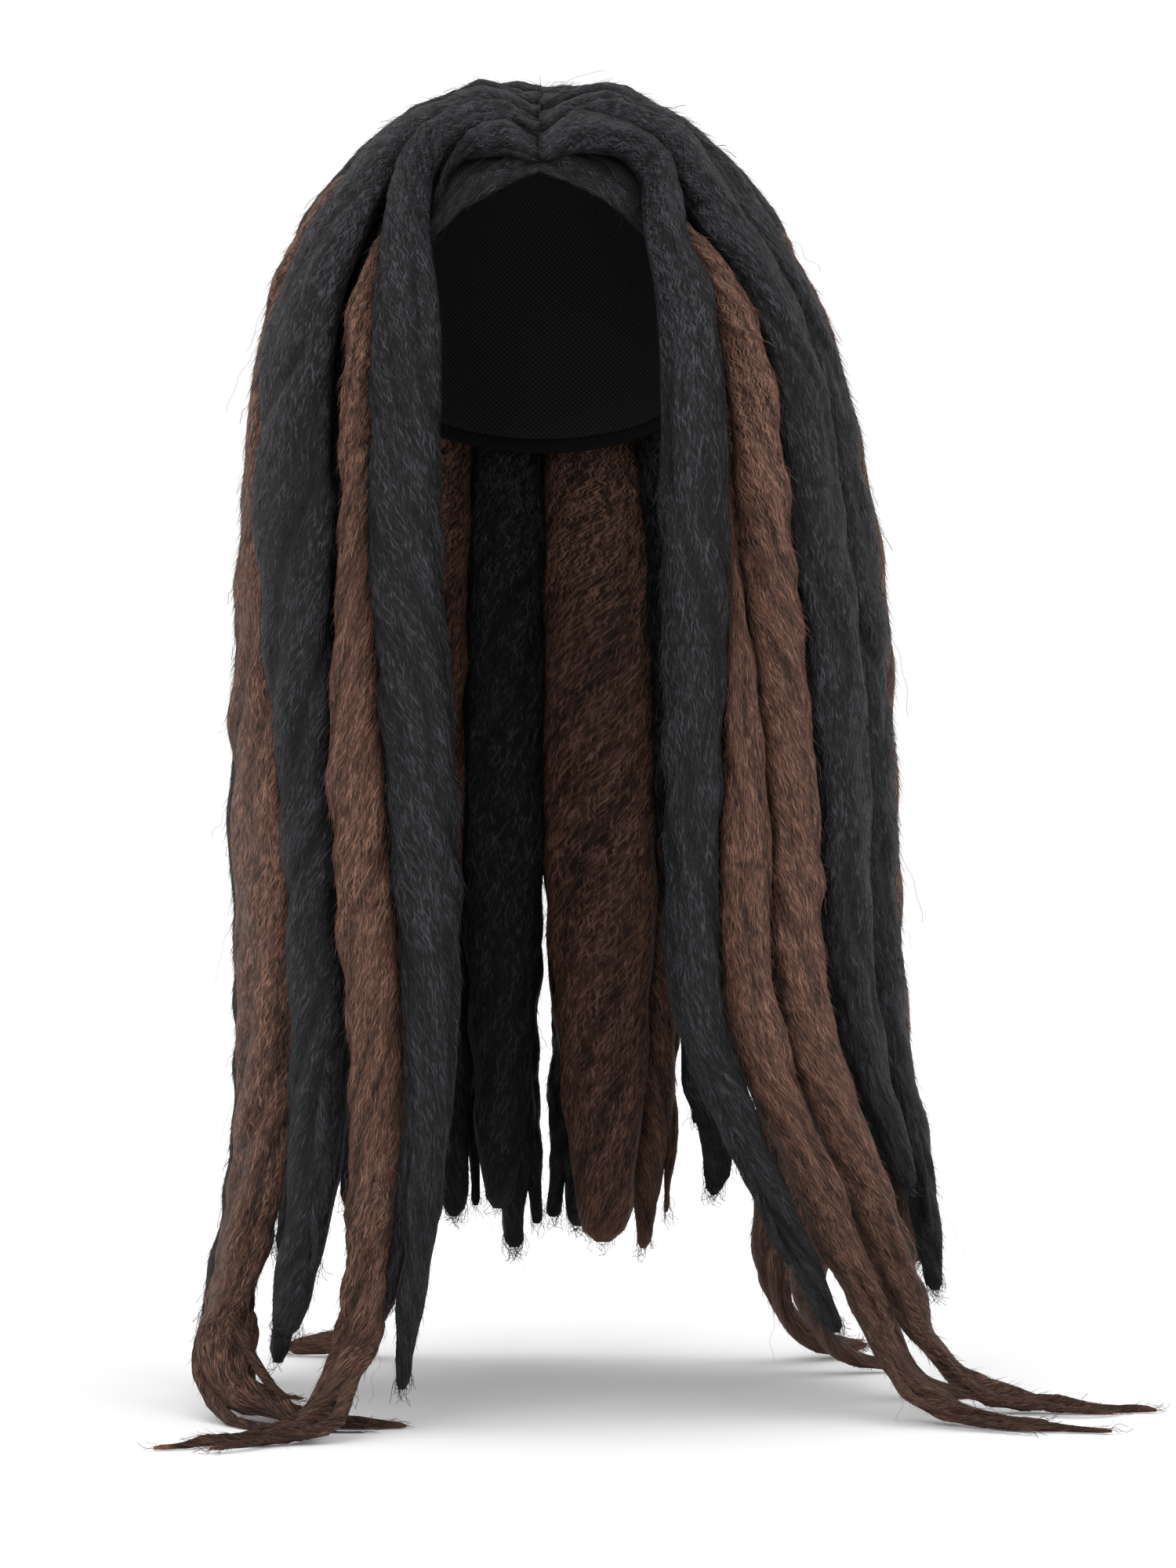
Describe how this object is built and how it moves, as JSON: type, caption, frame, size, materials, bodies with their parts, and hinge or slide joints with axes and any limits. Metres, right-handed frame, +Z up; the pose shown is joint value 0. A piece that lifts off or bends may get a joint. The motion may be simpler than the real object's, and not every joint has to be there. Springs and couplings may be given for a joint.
{
  "type": "dreadlock wig",
  "caption": "Long wig of thick crimped locks in black and dark brown, falling from a centre parting on a hollow cap with a bound edge, open at the face.",
  "frame": {"origin": "on the inside of the cap at its top, where the crown of a head bears", "axes": "+Z up, -Y towards the face, +X towards the wearer's left"},
  "size_m": [0.4135, 0.3163, 0.5663],
  "materials": {
    "black_hair": "matt crimped fibre",
    "brown_hair": "matt crimped fibre",
    "cap_net": "matt net",
    "binding": "matt elastic"
  },
  "bodies": {
    "root": {"cap": "cap_net", "edge_binding": "binding", "outer_lock_right_hairline": "black_hair", "outer_lock_right_front": "black_hair", "outer_lock_right_cheek": "brown_hair", "outer_lock_right_temple": "black_hair", "outer_lock_right_side": "brown_hair", "outer_lock_right_crown": "black_hair", "outer_lock_right_ear": "brown_hair", "outer_lock_right_rear": "black_hair", "outer_lock_right_behind": "black_hair", "outer_lock_right_low": "brown_hair", "outer_lock_right_back": "black_hair", "outer_lock_right_nape": "black_hair", "outer_lock_left_front": "black_hair", "outer_lock_left_jaw": "brown_hair", "outer_lock_left_cheek": "brown_hair", "outer_lock_left_temple": "black_hair", "outer_lock_left_side": "black_hair", "outer_lock_left_ear": "brown_hair", "outer_lock_left_crown": "black_hair", "outer_lock_left_rear": "black_hair", "outer_lock_left_low": "brown_hair", "outer_lock_left_behind": "black_hair", "outer_lock_left_back": "brown_hair", "outer_lock_left_nape": "black_hair", "inner_lock_right_front": "black_hair", "inner_lock_right_temple": "brown_hair", "inner_lock_right_ear": "brown_hair", "inner_lock_right_rear": "black_hair", "inner_lock_right_back": "brown_hair", "inner_lock_right_nape": "black_hair", "inner_lock_left_front": "brown_hair", "inner_lock_left_ear": "black_hair", "inner_lock_left_rear": "brown_hair", "inner_lock_left_back": "black_hair", "inner_lock_left_nape": "brown_hair"}
  },
  "joints": []
}
